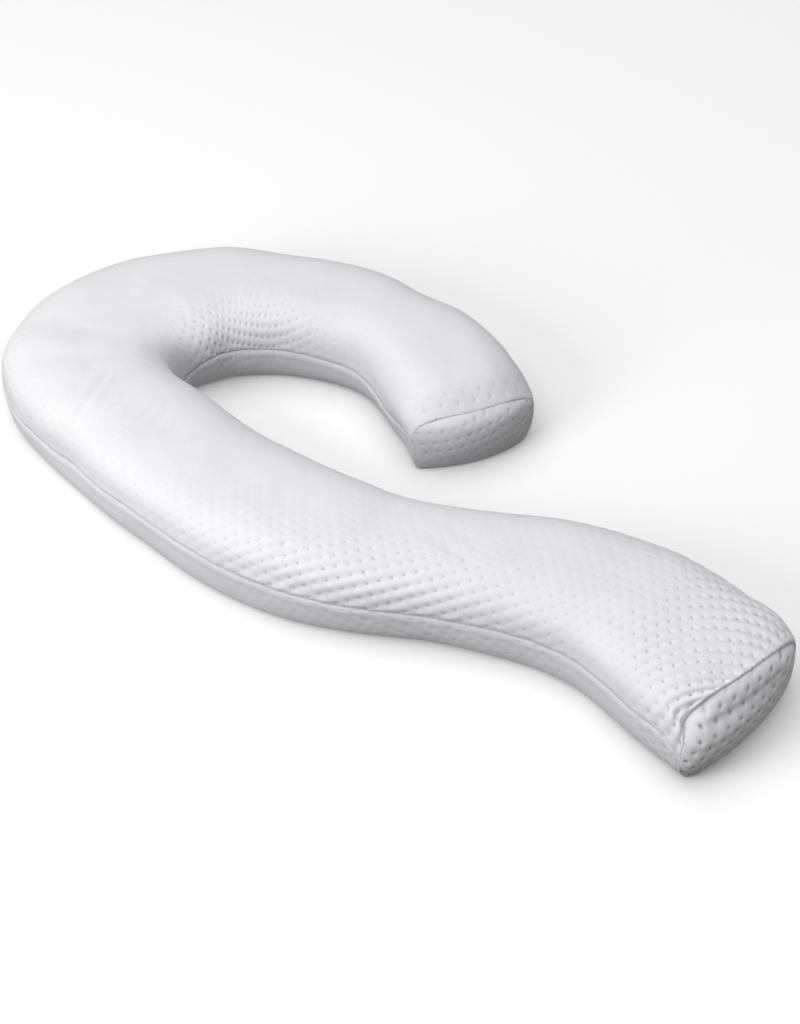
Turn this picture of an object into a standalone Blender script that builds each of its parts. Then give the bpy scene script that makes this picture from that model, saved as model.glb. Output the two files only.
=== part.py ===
"""Curved body pillow: one filled, hook-shaped pillow with a sewn end panel at each end.

The filled body is a loft between flat ribs. Each rib joins the pillow's outer
outline to its inner one, and carries one section: a flat underside, a rounded
lower corner, the side seam drawn in at half height, and a crowned top. The end
panels are thin domed pieces that cover the body's two ends.

Frame: +Z up, +X from the hook towards the tail, origin under the middle of the
pillow's box, on the surface that it lies on. The sizes below are millimetres.
"""
import math
from collections import namedtuple

import bmesh
import bpy
import numpy as np

MM = 0.001

# ---------------------------------------------------------------- driving sizes
CROWN_HEIGHT = 143.0        # full height of the filled body
TOP_FULLNESS = 3.1          # superellipse power of the crowned top, 2 is a plain ellipse
CORNER_FULLNESS = 2.5       # superellipse power of the lower corner
SEAM_DRAW = 4.5             # how far the sewn seam is drawn in
SEAM_LIP = 6.5              # height of the rolled lip above and below the seam
END_DRAW = 5.0              # how far the end seam is drawn in
END_LIP = 9.0               # width of the rolled lip before an end seam
END_LIFT = 5.0              # how far the lower edge of each end is drawn up
END_REACH = 36.0            # length at each end over which it rises
SEAM_DIP = 28.0             # how far the inner seam sinks where the bend is tightest
DIP_RUN = 860.0             # where that is along the middle line
DIP_REACH = 120.0           # and how far it reaches
RIB_PITCH = 25.0            # spacing of the ribs along the middle line
CLOTH = 2.6                 # thickness of an end panel
GAP = 0.5                   # clearance between an end panel and the body

# ------------------------------------------------------- the plan, rib by rib
# outer_*: the rib's end on the outer outline, inner_*: on the inner outline.
# bow: how far the middle of the rib runs ahead of its two ends, towards the tail.
# rake: how far the crown leans back from the underside at the rib's outer end.
# tuck: how far the rounded lower corners reach in from the sides.
# seam: height of the side seams above the surface.
# crown: height of the section as a share of CROWN_HEIGHT.
# pinch: how far the outer shoulder leans in, as a share of the half width.
Rib = namedtuple("Rib", "outer_x outer_y inner_x inner_y bow rake tuck seam crown pinch")
RIBS = [
    Rib(82, 292, -9, 83, -26, 2, 30, 66, 0.90, 0.00),         # hook's end seam
    Rib(55, 309, -27, 91, -22, 2, 30, 64, 0.96, 0.00),
    Rib(8, 327, -56, 104, -12, 1, 28, 61, 0.99, 0.00),
    Rib(-38, 343, -101, 121, -4, 0, 26, 57, 1.00, 0.00),
    Rib(-131, 361, -164, 145, 0, 0, 24, 55, 1.00, 0.00),
    Rib(-235, 357, -213, 150, 0, 0, 20, 57, 1.00, 0.00),
    Rib(-337, 339, -262, 138, 0, 0, 18, 58, 0.99, 0.00),
    Rib(-424, 299, -311, 113, 0, 0, 18, 62, 1.00, 0.00),
    Rib(-506, 252, -352, 84, 0, 0, 18, 66, 1.00, 0.00),
    Rib(-584, 204, -382, 52, 0, 0, 20, 68, 1.00, 0.00),
    Rib(-641, 130, -402, 24, 0, 0, 22, 69, 1.00, 0.00),       # outer bend starts
    Rib(-692, 48, -414, -6, 0, 0, 22, 68, 1.00, 0.00),
    Rib(-719, -37, -425, -29, 0, 0, 22, 64, 0.99, 0.00),
    Rib(-722, -131, -430, -51, 0, 0, 22, 60, 0.99, 0.00),
    Rib(-692, -223, -426, -73, 0, 0, 22, 58, 0.99, 0.00),
    Rib(-633, -293, -416, -88, 0, 0, 24, 60, 1.00, 0.00),     # outer bend ends
    Rib(-555, -329, -397, -96, 0, 0, 24, 58, 1.00, 0.00),
    Rib(-467, -345, -368, -101, 0, 0, 22, 58, 1.00, 0.00),
    Rib(-377, -353, -326, -102, 0, 0, 20, 63, 1.00, 0.00),
    Rib(-290, -358, -272, -106, 0, 0, 20, 69, 1.00, 0.00),
    Rib(-208, -359, -208, -110, 0, 0, 20, 74, 1.00, 0.00),
    Rib(-124, -359, -144, -109, 0, 0, 20, 77, 1.00, 0.00),
    Rib(-37, -352, -81, -100, 0, 0, 20, 77, 1.00, 0.00),
    Rib(48, -334, -16, -88, 0, 0, 22, 76, 1.00, 0.00),
    Rib(128, -304, 48, -74, 0, 0, 26, 75, 1.00, 0.00),
    Rib(208, -259, 106, -56, 0, 0, 32, 74, 0.99, 0.00),
    Rib(278, -211, 166, -27, 0, 0, 34, 74, 0.99, 0.00),
    Rib(342, -173, 232, 16, 0, 0, 28, 73, 1.00, 0.00),
    Rib(405, -142, 304, 65, 0, 0, 22, 72, 1.00, 0.00),
    Rib(460, -123, 384, 110, 0, 0, 22, 71, 1.00, 0.00),
    Rib(512, -117, 476, 140, 0, 0, 22, 71, 1.00, 0.00),
    Rib(571, -124, 566, 150, 3, 2, 24, 73, 1.00, 0.00),
    Rib(644, -137, 650, 150, 10, 10, 28, 76, 0.99, 0.05),
    Rib(692, -144, 700, 147, 17, 22, 34, 74, 0.97, 0.13),
    Rib(712, -145, 731, 140, 18, 40, 38, 56, 0.93, 0.24),     # tail's end seam
]

# ------------------------------------------- soft swells and troughs of the cover
# run: distance along the middle line from the hook's end seam.
# across: -1 at the outer side, 0 on the middle, 1 at the inner side.
# length, width: reach of the form along and across its own line.
# lean: its line's angle from the middle line, in degrees. rise: + swell, - trough.
Fold = namedtuple("Fold", "run across length width lean rise")
FOLDS = [
    Fold(264, -0.94, 60, 44, 90, -8.0),    # waist on the hook's outer side
    Fold(1096, -0.98, 50, 44, 90, -6.0),   # drawn-in place where the bend ends
    Fold(868, -0.60, 120, 26, 82, -3.0),   # creases fanned across the outer bend
    Fold(944, -0.58, 130, 26, 90, -3.4),
    Fold(1020, -0.52, 130, 26, 98, -3.4),
    Fold(1082, -0.40, 110, 26, 106, -2.8),
    Fold(22, 0.80, 40, 26, 60, -4.0),      # tuck beside the hook's end seam
    Fold(34, 0.10, 26, 110, 0, 2.0),       # rolled cloth along that seam
    Fold(2206, -0.60, 44, 24, 12, -5.0),   # crease at the tail's outer corner
    Fold(2200, -0.22, 50, 34, 12, 3.0),    # puffed cloth on both sides of it
    Fold(2190, -0.88, 50, 30, 12, 3.0),
    Fold(1700, -0.20, 200, 90, 10, -1.8),  # slack places on the long part
    Fold(1420, 0.25, 220, 90, 5, 1.6),
]

# --------------------------------------------------------- shares of the section
# Heights on the side walls and places across the top and the flat underside,
# as shares of the wall's height and of the half width.
WALL_SHARES = [0.10, 0.30, 0.52, 0.71]
TOP_SHARES = [0.81, 0.67, 0.49, 0.26, 0.0]
CORNER_SHARES = [0.10, 0.32, 0.56, 0.78, 0.93]
FLAT_SHARES = [1.0, 0.62, 0.22]
# Rings of an end, as shares of the end seam's ring.
END_SHARES = [0.975, 0.93, 0.84, 0.68, 0.40]
END_FULLNESS = 6.0          # power of an end's bulge, 2 is a plain dome
LOW_FULLNESS = 0.4          # the bulge's share beside the lower edge
FULL_ABOVE = 60.0           # height above which an end bulges fully
# dome: how far an end bulges past its seam. turn: how far it faces round from
# its rib's own direction, in degrees, towards the outer side.
End = namedtuple("End", "name towards dome turn")
HOOK_END = End("end_panel_hook", -1.0, 12.0, 0.0)
TAIL_END = End("end_panel_tail", 1.0, 21.0, 32.0)


def natural_spline(knots, values):
    """Natural cubic spline through the values, as a function of the knots' scale."""
    knots = np.asarray(knots, float)
    values = np.asarray(values, float)
    gap = np.diff(knots)
    slope = np.diff(values, axis=0) / gap[:, None]
    count = len(knots)
    system = np.eye(count)
    right = np.zeros_like(values)
    for i in range(1, count - 1):
        system[i, i - 1:i + 2] = gap[i - 1], 2.0 * (gap[i - 1] + gap[i]), gap[i]
        right[i] = 6.0 * (slope[i] - slope[i - 1])
    bend = np.linalg.solve(system, right)

    def at(place):
        i = int(np.clip(np.searchsorted(knots, place) - 1, 0, count - 2))
        width = gap[i]
        back = (knots[i + 1] - place) / width
        ahead = (place - knots[i]) / width
        curve = ((back ** 3 - back) * bend[i] + (ahead ** 3 - ahead) * bend[i + 1])
        return back * values[i] + ahead * values[i + 1] + curve * width * width / 6.0

    return at


def middle_line():
    """The ribs' middles, measured along the pillow, and the spline through the ribs."""
    rows = np.array(RIBS, float)
    middles = 0.5 * (rows[:, 0:2] + rows[:, 2:4])
    steps = np.hypot(*np.diff(middles, axis=0).T)
    runs = np.concatenate([[0.0], np.cumsum(steps)])
    return runs, natural_spline(runs, rows)


def section_profile(half, crown, tuck, seam):
    """One section, anticlockwise from the outer seam over the top: (across, height)."""
    wall = crown - seam
    walls = []
    for share in [SEAM_LIP / wall] + WALL_SHARES[1:]:
        walls.append(((1.0 - share ** TOP_FULLNESS) ** (1.0 / TOP_FULLNESS), share))
    tops = []
    for share in TOP_SHARES:
        tops.append((share, (1.0 - share ** TOP_FULLNESS) ** (1.0 / TOP_FULLNESS)))
    side = [(across, seam + wall * share) for across, share in walls + tops]
    top = [(-across, height) for across, height in side] + side[-2::-1]

    reach = tuck / half
    corner = []
    for share in [SEAM_LIP / seam] + CORNER_SHARES[1:]:
        inset = 1.0 - (1.0 - share ** CORNER_FULLNESS) ** (1.0 / CORNER_FULLNESS)
        corner.append((1.0 - reach * inset, seam * (1.0 - share)))
    flat = [((1.0 - reach) * share, 0.0) for share in FLAT_SHARES]
    lower = corner + flat
    bottom = lower + [(-across, height) for across, height in lower[::-1]]

    draw = 1.0 - SEAM_DRAW / half
    return np.array([(-draw, seam)] + top + [(draw, seam)] + bottom)


def fold_rise(run, across, half):
    """Height of the swells and troughs at one place of the top and the sides."""
    total = 0.0
    for fold in FOLDS:
        along = run - fold.run
        aside = (across - fold.across) * half
        turn = math.radians(fold.lean)
        forward = along * math.cos(turn) + aside * math.sin(turn)
        sideways = -along * math.sin(turn) + aside * math.cos(turn)
        reach = (forward / fold.length) ** 2 + (sideways / fold.width) ** 2
        total += fold.rise * math.exp(-reach)
    return total


def sunk_height(across, height, seam, crown, run):
    """The height again, lower beside the inner seam where the bend is tightest."""
    loose = min(height / seam, (crown - height) / (crown - seam))
    reach = math.exp(-((run - DIP_RUN) / DIP_REACH) ** 2)
    return height - SEAM_DIP * reach * max(0.0, 2.0 * across - 1.0) * loose


def section_ring(row, run, draw=0.0, share=1.0, lift=0.0):
    """The section on one rib, in millimetres.

    draw pulls the whole ring inwards. A share under 1 gives the ring inside it that
    closes an end, shrunk towards the section's middle and bowed as the rib is. lift
    is how far the underside is drawn up.
    """
    outer = np.array(row[0:2])
    inner = np.array(row[2:4])
    bow, rake, tuck, seam = row[4:8]
    crown = row[8] * CROWN_HEIGHT
    middle = 0.5 * (outer + inner)
    half = 0.5 * math.hypot(*(inner - outer))
    aside = (inner - outer) / (2.0 * half)
    ahead = np.array([aside[1], -aside[0]])
    heart = 0.5 * CROWN_HEIGHT
    ring = []
    for across, height in section_profile(half, crown, tuck, seam):
        risen = max(0.0, (height - seam) / (crown - seam))
        if across < 0.0:
            across *= 1.0 - row[9] * risen
        height = sunk_height(across, height, seam, crown, run)
        wide = across * half
        out = np.array([wide, height - heart])
        out[0] *= 0.35 + 0.65 * abs(across) ** 3
        out /= max(1e-6, math.hypot(*out))
        above = min(1.0, height / seam)
        push = above * fold_rise(run, across, half) - draw
        wide += out[0] * push
        height = height + out[1] * push
        if height < 0.05:
            height = 0.0
        height += lift * (1.0 - height / crown)
        wide *= share
        height = 0.5 * crown + (height - 0.5 * crown) * share
        across = wide / half
        lean = rake * (0.5 - 0.5 * across) * (height / CROWN_HEIGHT - 0.5)
        lead = bow * (1.0 - across * across) - lean
        spot = middle + aside * wide + ahead * lead
        ring.append((spot[0], spot[1], height))
    return np.array(ring)


def end_seam_ring(row, run, share=1.0):
    """The ring along an end seam: drawn in all round, with no side seams' grooves."""
    ring = section_ring(row, run, END_DRAW, share, END_LIFT)
    for seam in (0, 2 * len(WALL_SHARES + TOP_SHARES)):
        ring[seam] = 0.5 * (ring[seam - 1] + ring[seam + 1])
    return ring


def end_facing(row, end):
    """The level direction in which one end of the pillow faces."""
    outer = np.array(row[0:2])
    inner = np.array(row[2:4])
    aside = (inner - outer) / math.hypot(*(inner - outer))
    ahead = np.array([aside[1], -aside[0]]) * end.towards
    turn = math.radians(end.turn)
    level = ahead * math.cos(turn) - aside * math.sin(turn)
    return np.array([level[0], level[1], 0.0])


def end_rings(row, run, end, offset):
    """The domed closing of one end: rings inside the end seam's ring, and the tip."""
    away = end_facing(row, end)
    rings = []
    for share in END_SHARES + [0.0]:
        ring = end_seam_ring(row, run, share)
        fullness = LOW_FULLNESS + (1.0 - LOW_FULLNESS) * np.clip(ring[:, 2] / FULL_ABOVE, 0.0, 1.0)
        bulge = end.dome * (1.0 - share ** END_FULLNESS) * fullness + offset
        rings.append(ring + away * bulge[:, None])
    return rings[:-1], rings[-1][0]


def rib_runs(length):
    """Where the ribs stand, with a close pair for the rolled lip at each end seam."""
    count = int(round((length - 2.0 * END_LIP) / RIB_PITCH))
    inside = np.linspace(END_LIP, length - END_LIP, count + 1)
    return list(inside)


def skin(mesh, loops):
    """Joins each ring of points to the next one with a band of four-sided faces."""
    for first, second in zip(loops, loops[1:]):
        count = len(first)
        for i in range(count):
            j = (i + 1) % count
            mesh.faces.new((first[i], first[j], second[j], second[i]))


def close_with_fan(mesh, loop, tip):
    """Closes a ring of points with triangles that meet in one point."""
    for i, vertex in enumerate(loop):
        mesh.faces.new((vertex, loop[(i + 1) % len(loop)], tip))


def add_loop(mesh, ring):
    return [mesh.verts.new(point * MM) for point in ring]


def fabric(name, colour, roughness):
    """Matte cloth: a Principled material with the cloth's colour and roughness."""
    material = bpy.data.materials.new(name)
    material.use_nodes = True
    shader = material.node_tree.nodes["Principled BSDF"]
    shader.inputs["Base Color"].default_value = (*colour, 1.0)
    shader.inputs["Roughness"].default_value = roughness
    shader.inputs["Metallic"].default_value = 0.0
    return material


def finish(name, mesh, material, collection):
    """Turns a bmesh into a smooth-shaded object of the pillow's collection."""
    bmesh.ops.recalc_face_normals(mesh, faces=mesh.faces)
    data = bpy.data.meshes.new(name)
    mesh.to_mesh(data)
    mesh.free()
    data.materials.append(material)
    data.shade_smooth()
    item = bpy.data.objects.new(name, data)
    collection.objects.link(item)
    return item


def build_body(at, length, material, collection):
    """The filled body, closed by a dome at each end, under the end panels."""
    mesh = bmesh.new()
    loops = []
    for run in rib_runs(length):
        near_end = max(0.0, 1.0 - min(run, length - run) / END_REACH)
        loops.append(add_loop(mesh, section_ring(at(run), run, lift=END_LIFT * near_end ** 2)))
    closings = []
    for end, run, place in ((HOOK_END, 0.0, 0), (TAIL_END, length, len(loops) + 1)):
        loops.insert(place, add_loop(mesh, end_seam_ring(at(run), run)))
        rings, tip = end_rings(at(run), run, end, -CLOTH - GAP)
        closings.append((loops[place], rings, tip))
    skin(mesh, loops)
    for seam_loop, rings, tip in closings:
        inner_loops = [seam_loop] + [add_loop(mesh, ring) for ring in rings]
        skin(mesh, inner_loops)
        close_with_fan(mesh, inner_loops[-1], mesh.verts.new(tip * MM))
    return finish("pillow_body", mesh, material, collection)


def build_end_panel(end, at, run, material, collection):
    """One end panel: a domed sheet of cloth, closed round its edge."""
    mesh = bmesh.new()
    outside, outside_tip = end_rings(at(run), run, end, 0.0)
    inside, inside_tip = end_rings(at(run), run, end, -CLOTH)
    outer_loops = [add_loop(mesh, ring) for ring in outside]
    inner_loops = [add_loop(mesh, ring) for ring in inside]
    skin(mesh, outer_loops)
    skin(mesh, inner_loops)
    skin(mesh, [inner_loops[0], outer_loops[0]])
    close_with_fan(mesh, outer_loops[-1], mesh.verts.new(outside_tip * MM))
    close_with_fan(mesh, inner_loops[-1], mesh.verts.new(inside_tip * MM))
    return finish(end.name, mesh, material, collection)


def centre_on_origin(items):
    """Moves the pieces together so that their box stands over the origin."""
    points = np.array([vertex.co for item in items for vertex in item.data.vertices])
    low = points.min(axis=0)
    high = points.max(axis=0)
    shift = np.array([0.5 * (low[0] + high[0]), 0.5 * (low[1] + high[1]), low[2]])
    for item in items:
        for vertex in item.data.vertices:
            vertex.co = [float(c - s) for c, s in zip(vertex.co, shift)]


def main():
    for item in list(bpy.data.objects):
        bpy.data.objects.remove(item, do_unlink=True)
    collection = bpy.data.collections.new("body_pillow")
    bpy.context.scene.collection.children.link(collection)
    cover = fabric("white_knit_cover", (0.80, 0.80, 0.81), 0.9)
    panel = fabric("white_knit_end_panel", (0.76, 0.76, 0.77), 0.9)

    runs, at = middle_line()
    length = runs[-1]
    body = build_body(at, length, cover, collection)
    hook = build_end_panel(HOOK_END, at, 0.0, panel, collection)
    tail = build_end_panel(TAIL_END, at, length, panel, collection)
    centre_on_origin([body, hook, tail])


main()
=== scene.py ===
# %% [markdown]
# # A curved body pillow
# This pillow is one long bag of soft dimpled knit, filled with fibre. It curls
# into a hook at one end and waves gently at the other. A maker cuts a top panel
# and a bottom panel to the same curved outline, sews them together along both
# sides, and closes each end with a small panel of its own. The script follows
# those four pieces of cloth.

# %% Load the fixed frame
import math

import bmesh
import bpy
import numpy as np
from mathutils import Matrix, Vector


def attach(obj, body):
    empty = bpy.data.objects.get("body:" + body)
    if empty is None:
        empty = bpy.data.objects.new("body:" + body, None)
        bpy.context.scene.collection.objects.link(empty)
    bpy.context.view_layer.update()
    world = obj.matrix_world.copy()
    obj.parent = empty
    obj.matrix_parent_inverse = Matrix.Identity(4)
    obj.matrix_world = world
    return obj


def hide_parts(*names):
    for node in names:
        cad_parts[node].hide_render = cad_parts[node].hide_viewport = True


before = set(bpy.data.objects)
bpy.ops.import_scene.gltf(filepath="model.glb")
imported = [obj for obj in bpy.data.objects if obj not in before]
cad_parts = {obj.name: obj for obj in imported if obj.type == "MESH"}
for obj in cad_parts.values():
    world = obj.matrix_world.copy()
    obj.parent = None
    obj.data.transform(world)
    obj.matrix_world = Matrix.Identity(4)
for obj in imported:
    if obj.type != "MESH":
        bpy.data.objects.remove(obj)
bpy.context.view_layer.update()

MM = 0.001


def span(values, digits=0):
    """The lowest and the highest of some values, to be printed."""
    return f"{round(float(values.min()), digits)} to {round(float(values.max()), digits)}"


def add_object(name, data):
    """A new object in the scene that holds the data."""
    item = bpy.data.objects.new(name, data)
    bpy.context.scene.collection.objects.link(item)
    return item


def mesh_object(name, mesh):
    """A new object from a finished bmesh."""
    data = bpy.data.meshes.new(name)
    mesh.to_mesh(data)
    mesh.free()
    return add_object(name, data)


print("nodes of the frame:", sorted(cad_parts))

# %% [markdown]
# The camera comes first, so that every later step can be looked at. It stands
# 44 degrees above the surface and looks along the pillow's length at a slant.
# A long lens keeps the far hook from shrinking too much.

# %% Camera
CAMERA_PLACE = (1.6086, -1.6725, 2.2159)
CAMERA_TARGET = (0.0292, -0.0081, 0.0)
CAMERA_LENS = 67.7

camera_data = bpy.data.cameras.new("camera")
camera_data.lens = CAMERA_LENS
camera = add_object("camera", camera_data)
camera.location = CAMERA_PLACE
view_line = Vector(CAMERA_TARGET) - Vector(CAMERA_PLACE)
camera.rotation_euler = view_line.to_track_quat("-Z", "Y").to_euler()
bpy.context.scene.camera = camera
tilt = math.degrees(math.asin(-view_line.normalized().z))
print("camera looks down at", round(tilt, 1), "degrees")

# %% [markdown]
# The filling decides the shape. It is described by ribs, as a boat is: each rib
# joins the outer outline to the inner one and carries one section of the pillow.
# A smooth spline runs through the ribs, so a short table gives the whole form.
# Every length in the table is in millimetres.

# %% Ribs of the filling
# bow: how far the rib's middle runs ahead of its ends. rake: how far the crown
# leans back at the outer end. tuck: how far the lower corners reach in.
# seam: height of the side seams. crown: share of CROWN_HEIGHT. pinch: share of the
# half width by which the outer shoulder leans in.
RIBS = np.array([
    # outer x, y, inner x, y, bow, rake, tuck, seam, crown, pinch
    (82, 292, -9, 83, -26, 2, 28, 60, 0.75, 0),
    (55, 309, -27, 91, -22, 2, 29, 62, 0.89, 0),
    (8, 327, -56, 104, -12, 1, 28, 61, 0.99, 0),
    (-38, 343, -101, 121, -4, 0, 26, 57, 1, 0),
    (-131, 361, -164, 145, 0, 0, 24, 55, 1, 0),
    (-235, 357, -213, 150, 0, 0, 20, 57, 1, 0),
    (-337, 339, -262, 138, 0, 0, 18, 58, 0.99, 0),
    (-424, 299, -311, 113, 0, 0, 18, 62, 1, 0),
    (-506, 252, -352, 84, 0, 0, 18, 66, 1, 0),
    (-584, 204, -382, 52, 0, 0, 20, 68, 1, 0),
    (-641, 130, -402, 24, 0, 0, 22, 69, 1, 0),
    (-692, 48, -414, -6, 0, 0, 22, 68, 1, 0),
    (-719, -37, -425, -29, 0, 0, 22, 64, 0.99, 0),
    (-722, -131, -430, -51, 0, 0, 22, 60, 0.99, 0),
    (-692, -223, -426, -73, 0, 0, 22, 58, 0.99, 0),
    (-633, -293, -416, -88, 0, 0, 24, 60, 1, 0),
    (-555, -329, -397, -96, 0, 0, 24, 58, 1, 0),
    (-467, -345, -368, -101, 0, 0, 22, 58, 1, 0),
    (-377, -353, -326, -102, 0, 0, 20, 63, 1, 0),
    (-290, -358, -272, -106, 0, 0, 20, 69, 1, 0),
    (-208, -359, -208, -110, 0, 0, 20, 74, 1, 0),
    (-124, -359, -144, -109, 0, 0, 20, 77, 1, 0),
    (-37, -352, -81, -100, 0, 0, 20, 77, 1, 0),
    (48, -334, -16, -88, 0, 0, 22, 76, 1, 0),
    (128, -304, 48, -74, 0, 0, 26, 75, 1, 0),
    (208, -259, 106, -56, 0, 0, 32, 74, 0.99, 0),
    (278, -211, 166, -27, 0, 0, 34, 74, 0.99, 0),
    (342, -173, 232, 16, 0, 0, 28, 73, 1, 0),
    (405, -142, 304, 65, 0, 0, 22, 72, 1, 0),
    (460, -123, 384, 110, 0, 0, 22, 71, 1, 0),
    (512, -117, 476, 140, 0, 0, 22, 71, 1, 0),
    (571, -124, 566, 150, 3, 2, 24, 73, 1, 0),
    (644, -137, 650, 150, 10, 10, 28, 76, 0.99, 0.05),
    (692, -144, 700, 147, 17, 22, 34, 74, 0.97, 0.13),
    (712, -145, 729, 136, 18, 40, 38, 56, 0.93, 0.27),
], float)
CROWN_HEIGHT = 143.0
TOP_FULLNESS = 3.1  # superellipse power of the crowned top
CORNER_FULLNESS = 2.5  # superellipse power of the lower corner
TAIL_SQUARE = 1.3  # added to the top's power at the tail's outer corner
TAIL_ROUND = 0.7  # taken from it at the tail's inner corner
HOOK_ROUND = 0.9  # taken from it at the hook's outer corner
POWER_REACH = 70.0  # mm before an end over which that comes in
HOOK_TUCK = 17.0  # how much further in the hook's outer lower corner reaches
HOOK_LEAN = 14.0  # how far the crown leans back at the hook's end
CORNER_PUSH = 13.0  # how far the tail's outer corner stands ahead
CORNER_SHARE = (0.84, 0.95)  # shares of the half width between which that corner lies
CORNER_HEIGHT = (20.0, 70.0)  # heights over which it comes to stand ahead
PINCH_RISE = 1.6  # how late on its way up the outer shoulder leans in
# Where the inner seam sinks: place along the middle line, reach and depth.
SEAM_DIPS = [(860.0, 120.0, 28.0), (80.0, 130.0, 22.0)]
END_LIFT = 2.0  # how far the lower edge of each end is drawn up
END_REACH = 36.0  # mm before the end over which it rises
CENTRE = np.array([17.057, 0.367, 0.0])  # brings the pillow over the origin


def smooth_step(value, low, high):
    """0 up to low, 1 from high on, and a soft rise between them."""
    t = np.clip((value - low) / (high - low), 0.0, 1.0)
    return t * t * (3.0 - 2.0 * t)


def hill(*parts):
    """1 at the middle and soft on all sides. parts: distances, each over its reach."""
    return np.exp(-sum(part ** 2 for part in parts))


def way_along(curve):
    """How far along a curve each of its points lies."""
    return np.concatenate([[0.0], np.cumsum(np.hypot(*np.diff(curve, axis=0).T))])


def turned_by(angle, x, y):
    """How far places lie along an axis turned by the angle, and beside it."""
    return x * math.cos(angle) + y * math.sin(angle), y * math.cos(angle) - x * math.sin(angle)


def natural_spline(knots, values, places):
    """Natural cubic spline through the values, read at all the places at once."""
    gap = np.diff(knots)
    slope = np.diff(values, axis=0) / gap[:, None]
    count = len(knots)
    system = np.eye(count)
    right = np.zeros_like(values)
    for i in range(1, count - 1):
        system[i, i - 1:i + 2] = gap[i - 1], 2.0 * (gap[i - 1] + gap[i]), gap[i]
        right[i] = 6.0 * (slope[i] - slope[i - 1])
    bend = np.linalg.solve(system, right)
    i = np.clip(np.searchsorted(knots, places) - 1, 0, count - 2)
    width = gap[i][:, None]
    back = (knots[i + 1] - places)[:, None] / width
    ahead = (places - knots[i])[:, None] / width
    curve = (back ** 3 - back) * bend[i] + (ahead ** 3 - ahead) * bend[i + 1]
    return back * values[i] + ahead * values[i + 1] + curve * width * width / 6.0


rib_middles = 0.5 * (RIBS[:, 0:2] + RIBS[:, 2:4])
rib_runs = way_along(rib_middles)
LENGTH = rib_runs[-1]
print("middle line:", round(LENGTH), "mm,", len(RIBS), "ribs")

# %% [markdown]
# A panel is made from a flat grid, which is how the cloth starts too. Its rows
# run across the pillow and its columns run along it. Rows stand closer where the
# outline bends, so that no part of the cloth is coarse, and both rows and columns
# crowd together beside a seam, where the cloth rolls over.

# %% Rows and columns of the grid
ROWS = 700
END_ROWS = 9  # rows in the rolled cloth at each end
END_ROLL = 14.0  # mm of cloth that those rows cover
ROLL_CROWDING = 1.3  # how much closer rows and columns stand at the seam itself
BEND_CROWDING = 0.8  # how strongly rows crowd where the outline bends
SPREAD_POINTS = 4000  # points at which the crowding is worked out


def spread(start, stop, count, density):
    """count places from start to stop, closer where density is high."""
    fine = np.linspace(start, stop, SPREAD_POINTS)
    weight = np.cumsum(density(fine))
    weight = (weight - weight[0]) / (weight[-1] - weight[0])
    return np.interp(np.linspace(0.0, 1.0, count), weight, fine)


def with_rolls(roll, between, length):
    """The places between, with those of the rolled cloth before and behind them."""
    return np.concatenate([roll[:-1], between, (length - roll[:-1])[::-1]])


def edge_speed(places):
    """How fast the outline moves past the middle line, the faster of both sides."""
    rib = natural_spline(rib_runs, RIBS, places)
    outer = np.hypot(*np.gradient(rib[:, 0:2], places, axis=0).T)
    inner = np.hypot(*np.gradient(rib[:, 2:4], places, axis=0).T)
    return np.maximum(1.0, np.maximum(outer, inner)) ** BEND_CROWDING


roll = END_ROLL * np.linspace(0.0, 1.0, END_ROWS + 1) ** ROLL_CROWDING
long_part = spread(END_ROLL, LENGTH - END_ROLL, ROWS - 2 * END_ROWS + 1, edge_speed)
runs = with_rolls(roll, long_part, LENGTH)
print(len(runs), "rows,", span(np.diff(long_part), 2), "mm apart")

# %% [markdown]
# Each section is a crowned top over a rounded lower corner and a flat strip that
# rests on the bed. A superellipse gives a full, tight crown, flatter than an
# ellipse and softer than a box. The section is measured along the cloth, so each
# panel point knows how far it lies from the panel's middle.

# %% Sections of the two panels
ARC_POINTS = 160  # points on a section's curve
FLAT_POINTS = 40  # points on half of its flat strip
ANY_WIDTH = 400.0  # mm; a section has the same number of columns at any width


def half_section(half, tuck, seam, crown, fullness, panel):
    """Fine (across, height) points of one panel's section, from a seam to the middle."""
    angle = np.linspace(0.0, 0.5 * np.pi, ARC_POINTS)
    if panel == "top":
        across = np.cos(angle) ** (2.0 / fullness) * half
        height = seam + (crown - seam) * np.sin(angle) ** (2.0 / fullness)
    else:
        inset = tuck * (1.0 - np.cos(angle) ** (2.0 / CORNER_FULLNESS))
        flat = np.linspace(1.0, 0.0, FLAT_POINTS)[1:]
        across = np.concatenate([half - inset, (half - tuck) * flat])
        height = seam * (1.0 - np.sin(angle) ** (2.0 / CORNER_FULLNESS))
        height = np.concatenate([height, 0.0 * flat])
    return np.stack([across, height], 1)


def section_curve(sizes, panel):
    """The whole section: the outer half, then the inner one."""
    half, outer_tuck, inner_tuck, seam, crown, outer_power, inner_power = sizes
    outer = half_section(half, outer_tuck, seam, crown, outer_power, panel)
    inner = half_section(half, inner_tuck, seam, crown, inner_power, panel)
    return np.concatenate([outer * (-1.0, 1.0), inner[-2::-1]])


def crown_lead(bow, rake, share, height):
    """How far a section's points stand ahead of the line between its ends."""
    lean = rake * (0.5 - 0.5 * share) * (height / CROWN_HEIGHT - 0.5)
    return bow * (1.0 - share ** 2) - lean


def section_frame(outer, inner):
    """Middle, half width and the ways aside and ahead, from a section's two ends."""
    half = 0.5 * np.hypot(*(inner - outer).T)
    aside = (inner - outer) / (2.0 * half)[..., None]
    return 0.5 * (outer + inner), half, aside, np.stack([aside[..., 1], -aside[..., 0]], -1)


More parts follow.
